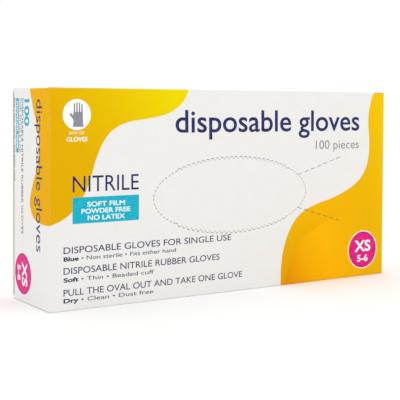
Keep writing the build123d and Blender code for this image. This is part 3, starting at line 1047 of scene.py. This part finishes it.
glove_nodes = sorted(name for name in frame["nodes"] if name.startswith("glove_layer"))
last_low = box_mm(glove_nodes[-1])[0]
glove_middle = (glove_low.z + glove_high.z) / 2
glove_points, glove_faces = flat_glove()
gloves = grown(
    "pressed_gloves", stack_tree(), [p - Z * glove_middle for p in glove_points], [], glove_faces,
    {"Count": len(glove_nodes), "First": (glove_low.y + glove_high.y) / 2 / MM,
     "Pitch": (last_low.y - glove_low.y) / (len(glove_nodes) - 1) / MM, "Middle": glove_middle / MM,
     "Crease depth": 3.4 / MM, "Ridge height": 1.1 / MM, "Seed": 4.7, "Film": NITRILE},
)
gloves.data.shade_smooth()
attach(gloves, "carton")
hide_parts(*glove_nodes)

# ---------------------------------------------------------------- print

INKS = [NAVY, CYAN, MAGENTA, MAGENTA_DEEP, WHITE, GREY, SLATE]
PROUD = 0.03  # how far each layer of ink is drawn above the one under it
INK_THICKNESS = 0.02
LETTER_SIZE = 10.0  # the letters' own units, which the next three share with a weight
SHORT_SIDE = 0.01  # sides of an outline below this are left out
WELD = 0.004
MITRE_LIMIT = 0.4  # keeps the tip of a sharp corner from running far out
letter_meshes = {}


def turns_round(spot, loops):
    """How many times the outlines run round a spot, anticlockwise ones counted up."""
    total = 0
    for lines in loops:
        xs, ys = [p.x for p, q in lines], [p.y for p, q in lines]
        if not (min(xs) < spot.x < max(xs) and min(ys) < spot.y < max(ys)):
            continue
        for p, q in lines:
            if (p.y <= spot.y) != (q.y <= spot.y):
                left = (q.x - p.x) * (spot.y - p.y) - (spot.x - p.x) * (q.y - p.y)
                total += (left > 0) * (q.y > p.y) - (left < 0) * (q.y < p.y)
    return total


def letter_mesh(words, weight):
    """Points and triangles of a line of letters, its outlines moved out by the weight. A thickened outline
    can cross itself, so a triangle counts as ink when the outlines run round it.
    """
    curve = bpy.data.curves.new("letters", "FONT")
    curve.body, curve.size, curve.resolution_u, curve.fill_mode = words, LETTER_SIZE, 5, "NONE"
    mesh = bpy.data.meshes.new_from_object(bpy.data.objects.new("letters", curve))
    rings, ring = [], []
    for a, b in (e.vertices for e in mesh.edges):
        p, q = mesh.vertices[a].co.xy, mesh.vertices[b].co.xy
        if (q - p).length > SHORT_SIDE:
            ring.append(p)
        if b < a:  # the edge that closes an outline
            rings.append(ring)
            ring = []
    area = sum(p.x * q.y - p.y * q.x for ring in rings for p, q in zip(ring, ring[1:] + ring[:1]))
    out = weight if area > 0 else -weight
    spots, edges, loops = [], [], []
    for ring in rings:
        first, count = len(spots), len(ring)
        for i, p in enumerate(ring):
            before, after = (p - ring[i - 1]).normalized(), (ring[(i + 1) % count] - p).normalized()
            across = Vector((before.y + after.y, -before.x - after.x))
            spots.append(p + across * out / max(MITRE_LIMIT, 1 + before.dot(after)))
        edges += [(first + i, first + (i + 1) % count) for i in range(count)]
        loops.append([(spots[a], spots[b]) for a, b in edges[-count:]])
    points, _, triangles, *_ = delaunay_2d_cdt(spots, edges, [], 0, WELD)
    kept = []
    for t in triangles:
        middle = (points[t[0]] + points[t[1]] + points[t[2]]) / 3
        if turns_round(middle, loops) * area > 0:
            kept.append(t)
    used = sorted({i for t in kept for i in t})
    place = {old: new for new, old in enumerate(used)}
    return [points[i] for i in used], [tuple(place[i] for i in t) for t in facing_up(points, kept)]


def letter_shape(words, weight):
    """A line of letters as a flat mesh: points, faces, width and the height of a capital."""
    if (words, weight) not in letter_meshes:
        points, faces = letter_mesh(words, weight)
        cap = max(p.y for p in letter_mesh("H", weight)[0]) - weight
        left = min(p.x for p in points)
        points = [(p.x - left, p.y) for p in points]
        letter_meshes[words, weight] = (points, faces, max(p[0] for p in points), cap)
    return letter_meshes[words, weight]


class Print(Sheet):
    """Ink on one face. place turns the face's own (across, up) into space; lift is its bulge."""

    def __init__(self, place, outward, lift):
        super().__init__()
        self.place, self.facing, self.lift = place, outward, lift

    def put(self, points, faces, colour, layer):
        first = len(self.points)
        for a, b in points:
            self.points.append(self.place(a, b) + self.facing * (self.lift(a, b) + PROUD * layer))
            self.outward.append(self.facing)
        for f in faces:
            self.face([first + i for i in f], INKS.index(colour))

    def words(self, words, left, right, foot, cap, colour=NAVY, weight=0.0, layer=1):
        """Letters from left to right that stand on foot; cap is the height of a capital."""
        points, faces, width, height = letter_shape(words, weight)
        wide, tall = (right - left) / width, cap / height
        self.put([(left + a * wide, foot + b * tall) for a, b in points], faces, colour, layer)

    def patch(self, outline, colour, layer=1, holes=(), spacing=3.0):
        self.put(*filled(outline, holes, spacing), colour, layer)

    def disc(self, centre, radius, colour, hole=0.0):
        ring, *holes = [arc(centre, reach, 0, 360, 64)[:-1] for reach in (radius, hole) if reach]
        self.patch(ring, colour, 1, holes)

    def bar(self, left, right, low, high, colour):
        corners = ((left, low), (right, low), (right, high), (left, high))
        self.patch(spaced([Vector(p) for p in corners]), colour)

    def size_badge(self, centre, radius):
        """A round size mark: pale ring, magenta disc, deeper at its rim."""
        self.disc(centre, radius, WHITE, radius * 0.95)
        self.disc(centre, radius * 0.955, MAGENTA_DEEP, radius * 0.915)
        self.disc(centre, radius * 0.92, MAGENTA)
        # half width, foot and height of a capital, in radii of the badge, and the weight
        rows = (("XS", 0.56, -0.08, 0.55, 0.26), ("5-6", 0.37, -0.62, 0.33, 0.25))
        for words, half, foot, cap, weight in rows:
            left, right = centre[0] - half * radius, centre[0] + half * radius
            self.words(words, left, right, centre[1] + foot * radius, cap * radius, WHITE, weight, 2)

    def finish(self, name, body):
        made = self.solid(name, body, INKS, INK_THICKNESS, through=True)


def hand_sign(centre, size):
    """A plain hand, as a pictogram: a short glove with its fingers apart."""
    cuff_end, narrower = -62.0, 3.4
    middle = Vector(((GLOVE_END + cuff_end) / 2, (PALM_LOW + THUMB_TIP.y) / 2))
    scale = size / (GLOVE_END - cuff_end)
    line = hand_outline(narrower, cuff_end)[::2]
    return [Vector(centre) + Vector((middle.y - p.y, p.x - middle.x)) * scale for p in line]


face = Print(on_front, -Y, front_bulge)
face.words("disposable gloves", -42.2, 98.2, 95.4, 12.6, NAVY, 0.1)
face.words("100 pieces", 61.6, 97.9, 83.8, 5.4, GREY)
face.disc((-104.1, 105.6), 8.3, WHITE)
face.patch(hand_sign((-104.1, 105.6), 13.2), GREY, 2, spacing=1.5)
face.words("BOX OF", -108.6, -99.6, 95.0, 1.5, WHITE)
face.words("GLOVES", -110.2, -98.0, 91.2, 2.3, WHITE, 0.15)
face.words("NITRILE", -106.6, -66.3, 63.9, 8.6, NAVY)
face.bar(-106.7, -66.1, 46.8, 61.0, CYAN)
for words, left, right, base in (
    ("SOFT FILM", -98.0, -75.0, 55.8), ("POWDER FREE", -101.4, -71.6, 52.1), ("NO LATEX", -97.7, -75.0, 48.4)
):
    face.words(words, left, right, base, 2.5, WHITE, 0.15, 2)
for big, right, base, dark, pale, small_right, small in (
    ("DISPOSABLE GLOVES FOR SINGLE USE", -3.2, 31.0,
     "Blue", "\u2022 Non sterile \u2022 Fits either hand", -41.7, 27.0),
    ("DISPOSABLE NITRILE RUBBER GLOVES", -11.3, 19.9, "Soft", "\u2022 Thin \u2022 Beaded cuff", -56.2, 15.7),
    ("PULL THE OVAL OUT AND TAKE ONE GLOVE", 5.3, 8.2, "Dry", "\u2022 Clean \u2022 Dust free", -56.2, 4.5),
):
    face.words(big, -111.9, right, base, 3.5, NAVY, 0.03)
    face.words(dark, -111.9, -103.0, small, 2.2, NAVY, 0.35)
    face.words(pale, -101.4, small_right, small, 2.2, SLATE, 0.06)
face.size_badge((102.1, 17.3), 12.4)
face.finish("front_print", "carton")


def end_print(side, sign):
    """The narrow end: the title down its front edge, then a count, a column of words and a size mark."""
    lid_low, lid_high = box_mm(f"{side}_lid")
    tuck = joint_mm(f"{side}_tuck_crease")
    lift = pillow(LID_BULGE, FRONT + CREASE, tuck.y - 0.8, lid_low.z, lid_high.z)
    # across runs down the left end and up the right one; up is always towards the front
    down = -sign
    made = Print(
        lambda a, b: Vector((sign * HALF, -b, HIGH / 2 - down * a)), sign * X,
        lambda a, b: lift(-b, HIGH / 2 - down * a),
    )

    def line(words, top, bottom, y, cap, colour=NAVY, weight=0.0, layer=1):
        """Letters from near the top of the carton to lower down, their feet at y."""
        a, b = sorted((down * (HIGH / 2 - top), down * (HIGH / 2 - bottom)))
        made.words(words, a, b, -y, cap, colour, weight, layer)

    line("disposable gloves", 113.7, 31.0, -8.2, 7.6)
    line("100", 113.8, 98.9, 8.2, 6.4, CYAN, 0.3)
    line("DISPOSABLE NITRILE RUBBER GLOVES", 114.2, 38.4, 12.5, 2.7)
    line("FOR SINGLE USE", 114.2, 84.0, 15.5, 1.8, SLATE)
    made.bar(*sorted((down * (HIGH / 2 - 114.5), down * (HIGH / 2 - 83.8))), -20.4, -16.5, CYAN)
    line("POWDER FREE", 112.5, 86.0, 19.4, 1.9, WHITE, 0.15, 2)
    line("Blue \u2022 Non sterile \u2022 Fits either hand", 114.5, 67.7, 23.2, 1.7, SLATE)
    made.size_badge((down * (HIGH / 2 - 16.0), -10.6), 12.2)
    made.finish(f"{side}_end_print", f"{side}_lid")


end_print("left", -1)
end_print("right", 1)

back = Print(lambda a, b: Vector((-a, BACK, b)), Y, lambda a, b: back_bulge(-a, b))
back.words("disposable gloves", -98.0, 22.0, 95.4, 10.6)
back.words("NITRILE", -98.0, -62.0, 76.0, 7.2)
back.bar(-98.0, -62.0, 60.0, 71.5, CYAN)
back.words("POWDER FREE", -94.0, -66.0, 63.8, 3.2, WHITE, 0.2, 2)
for number, (words, right) in enumerate((
    ("Keep the box shut, dry and away from sunlight", -20.0),
    ("One glove comes out of the oval at a time", -26.0),
    ("Flatten the empty box for paper recycling", -28.0),
    ("Suits the left hand and the right hand", -34.0),
)):
    back.words(words, -98.0, right, 46.0 - 7.0 * number, 2.6, GREY)
SIZES = (("XS", "5-6"), ("S", "6-7"), ("M", "7-8"), ("L", "8-9"), ("XL", "9-10"))
for number, (size, code) in enumerate(SIZES):
    # the size inside is a filled disc, the others are rings
    middle, half = 24.0 + 16.0 * number, 1.2 * len(size)
    back.disc((middle, 40.0), 6.4, GREY if number else MAGENTA, 5.9 if number else 0)
    ink_here = GREY if number else WHITE
    back.words(size, middle - half, middle + half, 39.4, 3.4, ink_here, 0.25, 2)
    back.words(code, middle - len(code) * 0.75, middle + len(code) * 0.75, 35.6, 1.8, ink_here, 0.1, 2)
back.finish("back_print", "carton")

top = Print(lambda a, b: Vector((a, b, HIGH)), Z, lambda a, b: 0.0)
top.words("disposable gloves", -30.0, 62.0, -7.6, 8.6)
top.words("100 pieces", 72.0, 98.0, -7.6, 4.2, GREY)
top.words("NITRILE", -30.0, -4.0, -19.0, 5.0)
top.bar(2.0, 32.0, -20.0, -13.2, CYAN)
top.words("POWDER FREE", 5.0, 29.0, -17.9, 2.4, WHITE, 0.2, 2)
top.size_badge((103.0, 9.0), 9.0)
top.finish("top_print", "carton")

# ---------------------------------------------------------------- floor, light and camera

floor_mesh = bpy.data.meshes.new("floor")
floor_mesh.from_pydata([(-4, -4, 0), (4, -4, 0), (4, 4, 0), (-4, 4, 0)], [], [(0, 1, 2, 3)])
floor = bpy.data.objects.new("floor", floor_mesh)
bpy.context.scene.collection.objects.link(floor)
floor_paint, _, floor_shader = new_material("matt_white_table", 0.9, Specular_IOR_Level=0.1)
floor_shader.inputs["Base Color"].default_value = srgb("FEFEFE")
floor_mesh.materials.append(floor_paint)

world = bpy.data.worlds.new("soft_white_room")
world.use_nodes = True
room = next(n for n in world.node_tree.nodes if n.type == "BACKGROUND")
room.inputs[0].default_value = (1.0, 1.0, 1.0, 1.0)
room.inputs[1].default_value = 1.0
bpy.context.scene.world = world


def softbox(name, place, target, width, power):
    lamp = bpy.data.lights.new(name, "AREA")
    lamp.energy, lamp.size, lamp.shape = power, width, "DISK"
    made = bpy.data.objects.new(name, lamp)
    made.location = place
    made.rotation_mode = "QUATERNION"
    made.rotation_quaternion = (Vector(target) - Vector(place)).to_track_quat("-Z", "Y")
    bpy.context.scene.collection.objects.link(made)


softbox("softbox_above", (0.0, -0.4, 1.9), (0, 0, 0), 1.6, 3.0)
softbox("softbox_front", (0.7, -1.7, 1.2), (0, 0, 0.05), 1.2, 0.5)

YAW, PITCH, ROLL = math.radians(33.07), math.radians(2.0), math.radians(0.3)
FOCAL, SHIFT = 2.43125, -0.149  # in widths of the picture
CAMERA = Vector((-333.3, -498.1, 110.3))
ahead = Vector((math.sin(YAW) * math.cos(PITCH), math.cos(YAW) * math.cos(PITCH), -math.sin(PITCH)))
right = Vector((math.cos(YAW), -math.sin(YAW), 0))
up = right.cross(ahead)
right, up = right * math.cos(ROLL) + up * math.sin(ROLL), up * math.cos(ROLL) - right * math.sin(ROLL)
lens = bpy.data.cameras.new("camera")
lens.sensor_width = 36.0
lens.lens = FOCAL * lens.sensor_width
lens.shift_y = SHIFT
lens.clip_start, lens.clip_end = 0.01, 30
camera = bpy.data.objects.new("camera", lens)
camera.matrix_world = Matrix.Translation(CAMERA / MM) @ Matrix((right, up, -ahead)).transposed().to_4x4()
bpy.context.scene.collection.objects.link(camera)
bpy.context.scene.camera = camera
bpy.context.scene.view_settings.view_transform = "Standard"
